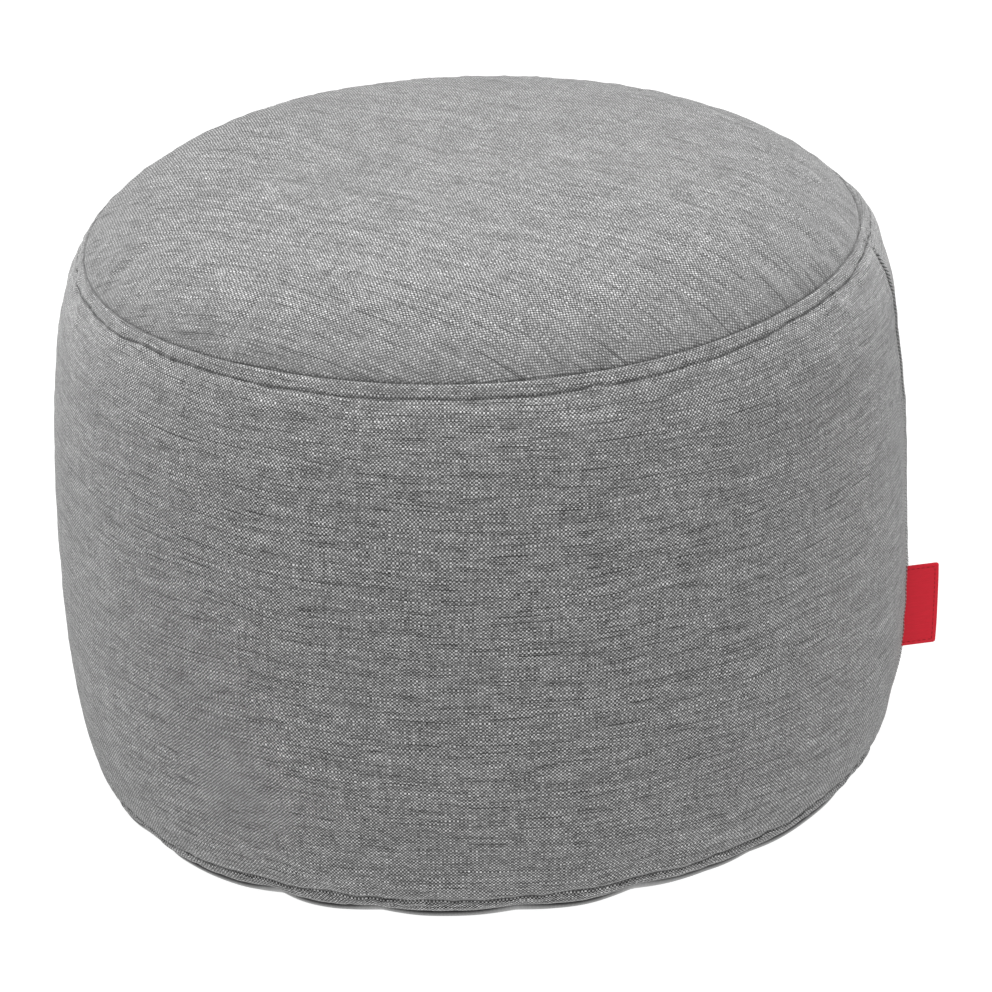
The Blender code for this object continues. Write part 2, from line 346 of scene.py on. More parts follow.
# %% Simulate the bag once
SIM_COLUMNS, SIM_WALL_ROWS, SIM_SEAT_ROWS = 360, 48, 30
SIM_FRAMES, SIM_PRESSURE, SIM_GROWTH, SIM_BENDING = 20, 4.0, 0.030, 0.05
SIM_SHRUNK, SIM_SHRUNK_RIM = 0.003, 0.03
SIM_JITTER, SIM_CAP = 0.0002, 0.0009
up_wall = np.linspace(0.0, wall_line.length, SIM_WALL_ROWS)
in_seat = np.linspace(0.0, seat_line.length, SIM_SEAT_ROWS + 1)[1:-1]
sim_angles = np.arange(SIM_COLUMNS) * math.tau / SIM_COLUMNS


def bag_rings(shrunk):
    """Rings of the coarse bag, from the hem up the wall and in over the seat."""
    inside = -shrunk * np.sqrt(np.abs(np.sin(np.pi * up_wall / wall_line.length)))
    places = [wall_line.place(d, s) for d, s in zip(up_wall, inside)]
    places += [seat_line.place(d, -shrunk * min(d / SIM_SHRUNK_RIM, 1.0)) for d in in_seat]
    return np.stack([settled(radius, height, sim_angles) for radius, height in places])


def coarse_bag():
    """The bag as one closed cloth, a little too small, with its seams held."""
    rows = bag_rings(SIM_SHRUNK)
    count = rows.shape[0] * SIM_COLUMNS
    bottom = np.append(rows[0].mean(axis=0)[:2], HEM_SEAM_HEIGHT)
    top = rows[-1].mean(axis=0)
    verts = np.vstack([rows.reshape(-1, 3), bottom, top])
    verts[:-2] += np.random.default_rng(7).normal(0.0, SIM_JITTER, (count, 3))
    faces = ring_faces(rows.shape[0], SIM_COLUMNS)
    last = count - SIM_COLUMNS
    for column in range(SIM_COLUMNS):
        after = (column + 1) % SIM_COLUMNS
        faces.append((after, column, count))
        faces.append((last + column, last + after, count + 1))
    bag = new_object("bag", verts.tolist(), faces)
    sewn = bag.vertex_groups.new(name="sewn")
    seam = (SIM_WALL_ROWS - 1) * SIM_COLUMNS
    held = list(range(SIM_COLUMNS)) + list(range(seam, seam + SIM_COLUMNS)) + [count]
    sewn.add(held, 1.0, "REPLACE")
    return bag


def simulated_bag():
    """How far the filled cloth stands off the even form: one array each, wall and seat."""
    bag = coarse_bag()
    cloth = bag.modifiers.new("Cloth", "CLOTH").settings
    cloth.vertex_group_mass = "sewn"
    cloth.use_pressure = True
    cloth.uniform_pressure_force = SIM_PRESSURE
    cloth.shrink_min = -SIM_GROWTH
    cloth.bending_stiffness = SIM_BENDING
    cloth.effector_weights.gravity = 0.0
    scene = bpy.context.scene
    for number in range(1, SIM_FRAMES + 1):
        scene.frame_set(number)
    filled = bag.evaluated_get(bpy.context.evaluated_depsgraph_get())
    moved = np.empty(len(filled.data.vertices) * 3)
    filled.data.vertices.foreach_get("co", moved)
    even = bag_rings(0.0)
    moved = moved.reshape(-1, 3)[:-2].reshape(even.shape)
    across = np.roll(even, -1, axis=1) - np.roll(even, 1, axis=1)
    upward = np.gradient(even, axis=0)
    off = ((moved - even) * unit(np.cross(across, upward))).sum(axis=2)
    print("the cloth stood off by", np.round([off.min(), off.mean(), off.max()], 4))
    off -= off.mean(axis=1)[:, None]
    off = SIM_CAP * np.tanh(off / SIM_CAP)
    scene.frame_set(1)
    bpy.data.objects.remove(bag, do_unlink=True)
    seat = np.vstack([off[SIM_WALL_ROWS - 1:], np.zeros((1, SIM_COLUMNS))])
    return off[:SIM_WALL_ROWS], seat


wall_puckers, seat_puckers = simulated_bag()
print("unevenness of wall and seat, mm:",
      np.round([wall_puckers.std() * 1000, seat_puckers.std() * 1000], 3))

# %% [markdown]
# ## Reading the simulation, and the finest puckers
#
# The simulated bag is coarse, so its unevenness is read with a smooth curve in both
# directions.  Folds finer than its mesh come from a sum of waves round the drum with seeded
# phases, which fade away from the seam that gathers them.


# %% Read the unevenness anywhere
def curve_weights(t):
    """Weights of four neighbours for a smooth reading between the middle two."""
    return np.stack([((2 - t) * t - 1) * t, (3 * t - 5) * t * t + 2,
                     ((4 - 3 * t) * t + 1) * t, (t - 1) * t * t]) / 2


def read_grid(grid, share, angle):
    """Read a grid of rows (share from 0 to 1) and columns (angle) smoothly between its points."""
    row = np.clip(share, 0, 1) * (grid.shape[0] - 1)
    column = (angle % math.tau) / math.tau * grid.shape[1]
    first_row = np.minimum(row.astype(int), grid.shape[0] - 2)
    first_column = column.astype(int)
    row_weights = curve_weights(row - first_row)
    column_weights = curve_weights(column - first_column)
    total = 0.0
    for i in range(4):
        rows = np.clip(first_row + i - 1, 0, grid.shape[0] - 1)
        for j in range(4):
            columns = (first_column + j - 1) % grid.shape[1]
            total = total + row_weights[i] * column_weights[j] * grid[rows, columns]
    return total


def ripple(angle, seed, fewest, most):
    """An uneven wave round the drum, about one high, with fewest to most crests in a turn."""
    draw = np.random.default_rng(seed)
    waves = np.arange(fewest, most)
    phases = draw.uniform(0.0, math.tau, len(waves))
    sizes = draw.uniform(0.3, 1.0, len(waves))
    swing = sum(s * np.cos(n * angle + p) for n, p, s in zip(waves, phases, sizes))
    return swing / np.sqrt(0.5 * (sizes**2).sum())


print("a ripple swings by", round(float(ripple(np.linspace(0, 6, 500), 1, 20, 60).std()), 2))

# %% [markdown]
# ## Sewing a panel
#
# A panel is a stack of rings, from the seam where it starts to the seam where it ends, and
# it goes on inside the seam to a point in the middle, so that it is a closed, filled body.
# The weave follows the cloth, so every corner also gets its place on the flat cloth, in
# metres, in a UV map named "weave".  Every point is also marked with painted shade for how deep
# in a crease it lies, a painted highlight where the cloth is turned edge on, painted shade, and
# how clearly its weave shows.


# %% Write the panel maker
def closed_panel(name, rings, across, along, looks):
    """A closed mesh from rings of points, with a flat place for every corner.

    across and along hold the flat places, one column more than the rings have.  looks holds
    the four marks of every point: painted crease shade, a painted highlight where it is turned
    edge on, painted shade, and its contrast.
    """
    rows, columns = rings.shape[:2]
    count = rows * columns
    ends = [rings[0].mean(axis=0), rings[-1].mean(axis=0)]
    verts = np.vstack([rings.reshape(-1, 3), ends])
    around = np.arange(columns)
    following = (around + 1) % columns
    last = (rows - 1) * columns
    fans = np.concatenate([
        np.stack([following, around, np.full(columns, count)], axis=-1),
        np.stack([last + around, last + following, np.full(columns, count + 1)], axis=-1),
    ])
    flat = np.stack([across, along], axis=-1)
    flat_quads = np.stack([flat[i:rows - 1 + i, j:columns + j] for i, j in CORNERS],
                          axis=-2).reshape(-1, 2)
    middles = [np.repeat(flat[end, :-1].mean(axis=0)[None], columns, axis=0) for end in (0, -1)]
    flat_fans = np.concatenate([
        np.stack([flat[0, 1:], flat[0, :-1], middles[0]], axis=1).reshape(-1, 2),
        np.stack([flat[-1, :-1], flat[-1, 1:], middles[1]], axis=1).reshape(-1, 2),
    ])
    panel = new_object(name, verts.tolist(), ring_faces(rows, columns) + fans.tolist())
    weave_map = panel.data.uv_layers.new(name="weave")
    weave_map.data.foreach_set("uv", np.vstack([flat_quads, flat_fans]).ravel())
    marks = panel.data.attributes.new("looks", "FLOAT_COLOR", "POINT")
    marks.data.foreach_set("color", np.vstack([looks.reshape(-1, 4), looks[[0, -1], 0]]).ravel())
    panel.data.shade_smooth()
    return panel


print("a panel is", closed_panel.__name__ + "(name, rings, flat places, looks)")

# %% [markdown]
# ## Inside the seams
#
# A padded piece has to be closed, so every panel goes on inside its seam: rings that no eye
# sees, parted from the next panel's by a hair, lead in to its middle.  They carry the full
# painted crease shade.  Each finished panel is measured, which also shows that it is closed.

# %% Write the helpers
CREASE_IN, FLOOR_IN, JOINT_WIDTH, SEAT_DISH = 0.0021, 0.003, 0.030, 0.010
UNDER_SEAT = (  # radius and height of hidden rings, from the crease in
    (SEAT_SEAM_RADIUS - CREASE_IN, SEAT_SEAM_HEIGHT - CREASE_IN),
    (SEAT_SEAM_RADIUS - JOINT_WIDTH, SEAT_SEAM_HEIGHT - SEAT_DISH),
    (0.5 * SEAT_SEAM_RADIUS, SEAT_SEAM_HEIGHT - SEAT_DISH),
)
OVER_BASE = (
    (HEM_SEAM_RADIUS - FLOOR_IN, HEM_SEAM_HEIGHT),
    (HEM_SEAM_RADIUS - JOINT_WIDTH, HEM_SEAM_HEIGHT),
    (0.5 * HEM_SEAM_RADIUS, HEM_SEAM_HEIGHT),
)
HIDDEN_FLAT = np.array([0.003, 0.03, 0.12])  # their distance beyond the seam on the flat cloth


def hidden_rings(places, angles, gap):
    """Rings inside a seam, a little above or below where two panels meet."""
    return [settled(radius, height + gap, angles) for radius, height in places]


def hidden_ends(looks, before, after):
    """Marks for a panel: full painted crease shade on hidden rings before and after the shown."""
    deep = np.tile((1.0, 0.0, 1.0, 1.0), (1, looks.shape[1], 1))
    return np.concatenate([deep] * before + [looks] + [deep] * after)


def volume_of(piece):
    """The volume that a closed mesh holds; it is below zero if its faces point inwards."""
    body = bmesh.new()
    body.from_mesh(piece.data)
    volume = body.calc_volume(signed=True)
    loose = sum(1 for edge in body.edges if not edge.is_manifold)
    body.free()
    assert loose == 0, piece.name
    return volume


def steps(*stops):
    """Distances from stop to stop: each pair is (where it ends, step up to there)."""
    places = [0.0]
    for end, step in stops:
        count = max(1, round((end - places[-1]) / step))
        places += list(np.linspace(places[-1], end, count + 1)[1:])
    return np.array(places)


print("steps to 0.01 m:", len(steps((0.004, 0.0005), (0.01, 0.002))))

# %% [markdown]
# ## The two bands of the wall
#
# Beside each ring the spare cloth of the seam is folded to the wall's side and held down by
# topstitching, so the wall stands up as a rounded band between the seam and the groove of
# the stitches.  No hand sews a perfect ring: the rows wander, nip in here and there, and
# gather the cloth beyond them into small folds.

# %% Describe the bands
SECTIONS = {  # distance from the seam, how far the cloth stands proud
    "top": (
        (0.0, -0.0018), (0.0005, -0.0008), (0.0012, 0.0), (0.0024, 0.0003), (0.0050, 0.0003),
        (0.0075, 0.0002), (0.0085, -0.0002), (0.0091, -0.0008), (0.0097, -0.0005),
        (0.0112, -0.0003), (0.0140, -0.0001), (0.0200, 0.0001), (0.0320, 0.0),
    ),
    "hem": (
        (0.0, -0.0010), (0.0005, -0.0004), (0.0012, 0.0002), (0.0025, 0.0004),
        (0.0060, 0.0004), (0.0088, 0.0001), (0.0098, -0.0005), (0.0104, -0.0011),
        (0.0110, -0.0005), (0.0122, 0.0001), (0.0160, 0.0002), (0.0320, 0.0),
    ),
}
STITCH_LINES = {"top": 0.0091, "hem": 0.0104}
WANDER_SEEDS = {"top": 1, "hem": 2}
NIPS = {  # angle, how far in, half the width
    "top": ((-75.0, 0.0020, 1.6), (-9.5, 0.0016, 2.0), (184.0, 0.0014, 1.6),
            (-38.0, 0.0015, 14.0), (-17.0, 0.0022, 6.0), (-60.0, 0.0003, 7.0),
            (-142.0, 0.0008, 14.0)),
    "hem": ((-142.0, 0.0015, 14.0), (-78.0, 0.0007, 9.0), (-57.0, 0.0007, 9.0),
            (-38.0, 0.0005, 9.0), (-97.0, -0.0003, 6.0)),
}
BAND_WANDER, GATHER_HEIGHT, GATHER_START = 0.0003, 0.00007, 0.012


def stitch_line(angle, which):
    """Distance of the row of topstitching from its seam, wandering a little."""
    wander = BAND_WANDER * ripple(angle, WANDER_SEEDS[which], 3, 40)
    return STITCH_LINES[which] + wander - bumps(angle, NIPS[which])


def band(distance, angle, which):
    """The band beside a seam."""
    return table_curve(distance * STITCH_LINES[which] / stitch_line(angle, which), SECTIONS[which])


def gathers(distance, angle, seed, reach):
    """Small folds that the thread gathers beside a seam."""
    swell = np.clip(distance / GATHER_START, 0, 1) * bell(distance, reach)
    return GATHER_HEIGHT * swell * ripple(angle, seed, 50, 120)


FRONT = -0.5 * math.pi
print("in front the top band is", round(1000 * float(stitch_line(FRONT, "top")), 1), "mm wide")

# %% [markdown]
# ## The closing seam of the wall
#
# The two ends of the wall meet in one upright seam: a crease, with the cloth banked up a
# little on both sides of it.  It leans over as it climbs, comes part of the way back near the
# top, and is pressed flat under the top band.

# %% Describe the closing seam
CLOSING_SEAM_SECTIONS = (  # distance across the seam, how far the cloth stands proud
    (-0.0100, 0.0), (-0.0050, 0.0003), (-0.0016, 0.0001), (-0.0005, -0.0008), (0.0, -0.0016),
    (0.0005, -0.0008), (0.0016, 0.0001), (0.0050, 0.0003), (0.0100, 0.0),
)
SEAM_LEAN, SEAM_LEAN_FROM = math.radians(3.3), 0.12
SEAM_TOP, SEAM_BACK = 0.030, 0.4
SHOWS_AFTER, UNDER_BAND, BAND_FADE = 0.002, 0.0085, 0.008


def smooth_step(share):
    """From nothing to one, slowly at both ends."""
    share = np.clip(share, 0.0, 1.0)
    return share * share * (3.0 - 2.0 * share)


def closing_angle(up):
    """Where the closing seam is at a distance up the wall."""
    lean_to = wall_line.length - SEAM_TOP
    lean = smooth_step((up - SEAM_LEAN_FROM) / (lean_to - SEAM_LEAN_FROM))
    back = smooth_step((wall_line.length - up) / SEAM_TOP)
    return CLOSING_SEAM_ANGLE - SEAM_LEAN * lean * (1.0 - SEAM_BACK * (1.0 - back))


def across_seam(up, angle):
    """Distance from the closing seam, round the wall."""
    return turned_away(angle, closing_angle(up)) * RADII.max()


def seam_shows(up):
    """How much of the closing seam shows."""
    down = wall_line.length - up
    return (np.clip(up / SHOWS_AFTER, 0.0, 1.0)
            * np.clip((down - UNDER_BAND) / BAND_FADE, 0.0, 1.0))


lean_most = np.abs(across_seam(np.linspace(0.1, 0.33, 99), CLOSING_SEAM_ANGLE)).max()
print("it leans by up to", round(1000 * float(lean_most)), "mm")

# %% [markdown]
# ## The surface of the wall
#
# Everything is added up: the bands, the gathers, the puckers of the filled bag, the closing
# seam, and a soft swelling of the shoulder behind it, where the beads have slid.

# %% Raise the wall
SHOULDER_SWELL = (  # distance down from the seat's seam, how far the cloth is swollen
    (0.0, 0.0), (0.0030, 0.0020), (0.0090, 0.0026), (0.0160, 0.0022), (0.0280, 0.0),
)
SHOULDER_AT, SHOULDER_WIDE, SHOULDER_TAUT = math.radians(4.0), math.radians(7.0), 0.85
TOP_GATHERS, HEM_GATHERS = (3, 0.035), (4, 0.040)  # seed, reach


def wall_raise(up, angle):
    """How far the wall's cloth stands off its even form."""
    down = wall_line.length - up
    raised = band(up, angle, "hem") + band(down, angle, "top")
    raised = raised + gathers(down, angle, *TOP_GATHERS) + gathers(up, angle, *HEM_GATHERS)
    shoulder = bell(turned_away(angle, SHOULDER_AT), SHOULDER_WIDE)
    raised = raised + shoulder * table_curve(down, SHOULDER_SWELL)
    puckers = read_grid(wall_puckers, up / wall_line.length, angle)
    raised = raised + (1.0 - SHOULDER_TAUT * shoulder) * puckers
    return raised + seam_shows(up) * table_curve(across_seam(up, angle), CLOSING_SEAM_SECTIONS)


def wall_point(up, angle, raised=0.0):
    """The place of the wall's cloth, raised by a little more where asked."""
    up, angle = np.broadcast_arrays(up, angle)
    return settled(*wall_line.place(up, wall_raise(up, angle) + raised), angle)


print("in front, half way up:", np.round(wall_point(0.16, FRONT), 3))

# %% [markdown]
# ## Marks for the weave
#
# Shade falls where the cloth is creased, and it is painted into the colour: each crease gets a
# depth and a width of painted shade.
# Just above the hem seam, where the cloth turns edge on, a painted highlight makes a pale
# strip, and inside the two bands painted shade darkens the cloth.  The weave shows most
# clearly in the hem's band.

# %% Mark the wall
# Painted shade in the grooves and seams: how dark it gets, and how wide.
PAINTED_CREASE_SHADES = {  # how deep, how wide
    "top groove": (0.42, 0.0009),
    "hem groove": (0.70, 0.0006),
    "seat seam": (0.95, 0.0006),
    "hem seam": (0.90, 0.0005),
    "closing seam": (0.50, 0.0017),
}
UNEVEN_GROOVE, SHALLOWEST_GROOVE = 0.40, 0.1
PAINTED_HIGHLIGHT_AT, PAINTED_HIGHLIGHT_WIDE = 0.0016, 0.0010
# BAND_SHADE, HEM_SHADE and TOP_SHADE are painted shade, inside the bands and towards the top band.
BAND_EDGE, BAND_SHADE, HEM_SHADE, HEM_CLEAR = 0.0006, 0.08, 0.15, 0.55
TOP_SHADE, TOP_FAINT, GROOVE_FAINT = (0.10, 0.032), (0.10, 0.070), (0.75, 0.0014)


def fading(distance, most, wide):
    """Most of something at no distance, and less of it further off."""
    return most * bell(distance, wide)


def wall_looks(up, angle):
    """The marks of the wall's cloth: painted crease shade, painted highlight, painted shade,
    contrast.
    """
    up, angle = np.broadcast_arrays(up, angle)
    down = wall_line.length - up
    top_line, hem_line = stitch_line(angle, "top"), stitch_line(angle, "hem")
    depth = np.maximum(1.0 + UNEVEN_GROOVE * ripple(angle, 6, 30, 160), SHALLOWEST_GROOVE)
    # Painted shade in both grooves, at both seams and along the closing seam.
    crease = np.max([
        depth * fading(down - top_line, *PAINTED_CREASE_SHADES["top groove"]),
        depth**0.5 * fading(up - hem_line, *PAINTED_CREASE_SHADES["hem groove"]),
        fading(down, *PAINTED_CREASE_SHADES["seat seam"]),
        fading(up, *PAINTED_CREASE_SHADES["hem seam"]),
        seam_shows(up) * fading(across_seam(up, angle), *PAINTED_CREASE_SHADES["closing seam"]),
    ], axis=0)
    # A painted highlight: a pale strip just above the hem seam, where the cloth turns edge on.
    turned = bell(up - PAINTED_HIGHLIGHT_AT, PAINTED_HIGHLIGHT_WIDE)
    in_band = np.clip((top_line - down) / BAND_EDGE, 0.0, 1.0)
    in_hem = np.clip((hem_line - up) / BAND_EDGE, 0.0, 1.0)
    # Painted shade inside the two bands, and darker towards the top band.
    painted_band_shade = 1.0 - BAND_SHADE * in_band - HEM_SHADE * in_hem
    shade = (1.0 - fading(down, *TOP_SHADE)) * painted_band_shade
    clear = 1.0 - fading(down, *TOP_FAINT) + HEM_CLEAR * in_hem
    clear = clear * (1.0 - fading(up - hem_line - BAND_EDGE, *GROOVE_FAINT))
    return np.stack([np.clip(crease, 0.0, 1.0), turned, shade, clear], axis=-1)


print("creases:", ", ".join(PAINTED_CREASE_SHADES))

# %% [markdown]
# ## The wall
#
# The wall runs once round, from the closing seam back to itself.  Its rows lie close
# together in the two bands, where the cloth turns sharply, and wide apart between them.
# Columns lie close together only beside the closing seam, and they lean over with it.

# %% Make the wall
COLUMN_STEP, SEAM_COLUMN = math.tau / 504, 0.0008 / 0.245
SEAM_COLUMNS = 14  # on each side
FINE_ROW, MIDDLE_ROW, PLAIN_ROW = 0.0005, 0.0011, 0.0034  # steps between rows
GROOVE_REACH, BAND_REACH = 0.0125, 0.0215
LEAN_SPREAD = 0.5
CLOTH_RADIUS, WALL_TURN = 0.25, math.radians(-2.0)

near_seam = SEAM_COLUMN * np.arange(-SEAM_COLUMNS, SEAM_COLUMNS + 1)
columns_left = np.arange(near_seam[-1] + COLUMN_STEP, math.tau + near_seam[0] - 0.5 * COLUMN_STEP,
                         COLUMN_STEP)
wall_angles = CLOSING_SEAM_ANGLE + np.concatenate(
    [near_seam[SEAM_COLUMNS:], columns_left, math.tau + near_seam[:SEAM_COLUMNS]])
wall_rows = steps((GROOVE_REACH, FINE_ROW), (BAND_REACH, MIDDLE_ROW),
                  (wall_line.length - BAND_REACH, PLAIN_ROW),
                  (wall_line.length - GROOVE_REACH, MIDDLE_ROW), (wall_line.length, FINE_ROW))
leaning = closing_angle(wall_rows)[:, None] - CLOSING_SEAM_ANGLE
grid_angles = wall_angles + leaning * bell(turned_away(wall_angles, CLOSING_SEAM_ANGLE),
                                           LEAN_SPREAD)
rings = np.stack(hidden_rings(OVER_BASE, wall_angles, half_gap)[::-1]
                 + list(wall_point(wall_rows[:, None], grid_angles))
                 + hidden_rings(UNDER_SEAT, grid_angles[-1], -half_gap))
flat_up = np.concatenate([-HIDDEN_FLAT[::-1], wall_rows, wall_line.length + HIDDEN_FLAT])
flat_round = (np.append(wall_angles, wall_angles[0] + math.tau) - CLOSING_SEAM_ANGLE) * CLOTH_RADIUS
flat_across, flat_along = np.meshgrid(flat_round, flat_up)
wall_cloth = closed_panel(
    "wall_cloth", rings,
    flat_across * math.cos(WALL_TURN) + flat_along * math.sin(WALL_TURN),
    flat_along * math.cos(WALL_TURN) - flat_across * math.sin(WALL_TURN),
    hidden_ends(wall_looks(wall_rows[:, None], grid_angles), 3, 3))
print("wall:", len(wall_cloth.data.polygons), "faces,", round(volume_of(wall_cloth), 4), "m3")

# %% [markdown]
# ## The surface of the seat
#
# The seat is a disc of cloth over a crown of beads: flat in the middle and turned down
# steeply at its rim, where it dips into the seam.  In front the beads have slid forward and
# swell it a little.

# %% Raise the seat
RIM_SECTIONS = (  # distance in from the seam, how far the cloth stands proud
    (0.0, -0.0024), (0.0006, -0.0012), (0.0014, -0.0005), (0.0030, -0.0001), (0.0070, 0.0002),
    (0.0210, 0.0),
)
FRONT_SWELL = (  # the same for what the beads add in front
    (0.0, 0.0), (0.0060, 0.0011), (0.0130, 0.0024), (0.0220, 0.0032), (0.0350, 0.0034),
    (0.0600, 0.0022), (0.0950, 0.0), (0.1200, 0.0),
)
SEAT_GATHER, RIM_GATHERS, LOOSE_REACH = 2.6, (5, 0.028), 0.150


def seat_raise(inwards, angle):
    """How far the seat's cloth stands off its even form."""
    raised = table_curve(inwards, RIM_SECTIONS)
    raised = raised + 0.5 * (1.0 - np.sin(angle)) * table_curve(inwards, FRONT_SWELL)
    raised = raised + SEAT_GATHER * gathers(inwards, angle, *RIM_GATHERS)
    loose = np.clip(1.0 - inwards / LOOSE_REACH, 0.0, 1.0)
    return raised + loose * read_grid(seat_puckers, inwards / seat_line.length, angle)


def seat_point(inwards, angle):
    """The place of the seat's cloth."""
    inwards, angle = np.broadcast_arrays(inwards, angle)
    return settled(*seat_line.place(inwards, seat_raise(inwards, angle)), angle)


print("the seat's middle:", np.round(seat_point(seat_line.length, 0.0), 3))

# %% [markdown]
# ## The seat
#
# Its cloth is laid at an angle of its own, so the weave runs across the seat from back left
# to front right.  Its rings close in towards the middle.

# %% Make the seat
SEAT_COLUMN, SEAT_TURN = math.tau / 480, math.radians(-35.0)
# Seat marks: painted shade in its seam's crease and towards its rim, and a fainter weave there.
PAINTED_RIM_CREASE_SHADE, RIM_SHADE, RIM_FAINT = (1.0, 0.0007), (0.08, 0.007), (0.38, 0.042)
seat_angles = np.arange(0.0, math.tau - 0.5 * SEAT_COLUMN, SEAT_COLUMN)
seat_rows = steps((0.012, 0.0007), (0.035, 0.0020), (seat_line.length - 0.004, 0.0034))


def disc_map(from_middle, angles, turn):
    """Flat places on a disc of cloth, laid at an angle."""
    angles = np.append(angles, angles[0] + math.tau)
    reach = np.array(from_middle)[:, None]
    return reach * np.cos(angles - turn), reach * np.sin(angles - turn)


rings = np.stack(hidden_rings(UNDER_SEAT, seat_angles, half_gap)[::-1]
                 + list(seat_point(seat_rows[:, None], seat_angles[None, :])))
from_middle = seat_line.length + np.concatenate([HIDDEN_FLAT[::-1], -seat_rows])
seat_looks = np.stack([fading(seat_rows, *PAINTED_RIM_CREASE_SHADE), 0.0 * seat_rows,
                       1.0 - fading(seat_rows, *RIM_SHADE),
                       1.0 - fading(seat_rows, *RIM_FAINT)], axis=-1)
seat_looks = np.repeat(seat_looks[:, None], len(seat_angles), axis=1)
seat_cloth = closed_panel("seat_cloth", rings, *disc_map(from_middle, seat_angles, SEAT_TURN),
                          hidden_ends(seat_looks, 3, 0))
print("seat:", len(seat_cloth.data.polygons), "faces,", round(volume_of(seat_cloth), 4), "m3")

# %% [markdown]
# ## The base
#
# Only a sliver of the base shows, rolled up to the hem.  The footstool rests on it, so its
# middle is flat, and it is drawn in a little at each pinch of the hem.

# %% Make the base
BASE_FLAT_RADIUS, PINCH_TUCK = 0.214, 0.8
BASE_EDGE = (  # height and radius, from the seam down and in
    (HEM_SEAM_HEIGHT, 0.2312), (0.0071, 0.2322), (0.0064, 0.2331), (0.0054, 0.2334),
    (0.0040, 0.2328), (0.0018, 0.2290), (0.0005, 0.2210), (0.0, BASE_FLAT_RADIUS),
    (0.0, 0.5 * BASE_FLAT_RADIUS),
)
BASE_REACH_ON = (0.236, 0.263, 0.35)  # the hidden rings' distance from the flat cloth's middle
# The base's sliver gets a painted highlight where it turns edge on, and a little painted shade.
BASE_LOOKS = (0.0, 0.85, 0.86, 0.3)  # hardly in a crease, but turned edge on
base_angles = seat_angles
base_rings = [settled(radius - PINCH_TUCK * pinch(base_angles), height, base_angles)
              for height, radius in BASE_EDGE[::-1]]
base_rings[-1][:, 2] -= half_gap
rings = np.stack(base_rings + hidden_rings(OVER_BASE, base_angles, -half_gap))
base_reach = [radius for _, radius in BASE_EDGE[::-1]] + list(BASE_REACH_ON)
base_looks = np.tile(BASE_LOOKS, (len(BASE_EDGE) - 1, len(base_angles), 1))
# Painted crease shade on the base, darkest at the seam.
base_looks[-3:, :, 0] = np.array([[0.10], [0.65], [1.0]])  # deeper in the crease near the seam
base_cloth = closed_panel("base_cloth", rings, *disc_map(base_reach, base_angles, 0.0),
                          hidden_ends(base_looks, 0, 4))
print("base:", len(base_cloth.data.polygons), "faces,", round(volume_of(base_cloth), 5), "m3")

# %% [markdown]
# ## One stitch, and a row of them
#
# Topstitching is a row of short rods of thread, each rounded over and diving into the cloth
# at both ends.  One is modelled as a small sphere drawn out long, with few faces, because
# there are hundreds.  Each copy is turned to the cloth it lies on: along the row, and square
# to the surface.


# %% Model a stitch and lay copies along the cloth
NUDGE = 0.0004  # a small way along the cloth, to feel how it slopes


def model_stitch(length, width):
    """The points and faces of one stitch, lying along X."""
    bpy.ops.object.select_all(action="DESELECT")
    bpy.ops.mesh.primitive_uv_sphere_add(segments=8, ring_count=5, radius=0.5)
    bpy.ops.object.mode_set(mode="EDIT")
    bpy.ops.mesh.select_all(action="SELECT")
    bpy.ops.transform.rotate(value=0.5 * math.pi, orient_axis="Y", center_override=(0, 0, 0))
    bpy.ops.transform.resize(value=(length, width, width))
    bpy.ops.object.mode_set(mode="OBJECT")
    model = bpy.context.object
    points = np.array([vert.co for vert in model.data.vertices])
    faces = [tuple(face.vertices) for face in model.data.polygons]
    bpy.data.objects.remove(model, do_unlink=True)
    return points, faces


def lay_stitches(name, model, places, along, outward):
    """One mesh of stitches: a copy at each place, along one way and standing out the other."""
    points, faces = model
    along = unit(along)
    aside = unit(np.cross(outward, along))
    outward = np.cross(along, aside)
    turned = np.stack([along, aside, outward], axis=1)
    verts = places[:, None, :] + np.einsum("pk,nkc->npc", points, turned)
    every = [tuple(corner + n * len(points) for corner in face)
             for n in range(len(places)) for face in faces]
    row = new_object(name, verts.reshape(-1, 3).tolist(), every)
    row.data.shade_smooth()
    print(name + ":", len(places), "stitches,", len(every), "faces")
    return row


def wall_stitches(name, model, up, angle, lean=0.0, sunk=0.0, tilt=0.0):
    """A row of stitches on the wall: lean turns them off the row, tilt lifts their ends."""
    here = wall_point(up, angle, -sunk)
    turn = NUDGE / CLOTH_RADIUS
    round_it = unit(wall_point(up, angle + turn) - wall_point(up, angle - turn))
    upward = unit(wall_point(up + NUDGE, angle) - wall_point(up - NUDGE, angle))
    outward = np.cross(round_it, upward)
    along = round_it * math.cos(lean) + upward * math.sin(lean) + outward * tilt
    return lay_stitches(name, model, here, along, outward)


# %% [markdown]
# ## Topstitching and the closing seam
#
# The two rows beside the rings lie in the grooves that they press into the cloth.  The
# upright seam is oversewn from one band to the other with two threads, a dark one and a pale
# one, which slant over the edge by turns.

# %% Sew the three rows
STITCH_PITCH, STITCH_LENGTH, THREAD_WIDTH, ROW_RADIUS = 0.0034, 0.0026, 0.00060, 0.235
SEAM_PITCH, SEAM_STITCH, SEAM_WIDTH = 0.00245, 0.0042, 0.00070
SEAM_FROM, SEAM_SHORT, PALE_AFTER = 0.0125, 0.0160, 0.0012  # from the hem, from the seat
SEAM_SLANT, SEAM_TILT = math.radians(-50.0), 0.36
SEAM_PROUD, SEAM_FILL = 0.0010, 0.0016  # above the cloth beside the crease, and the crease

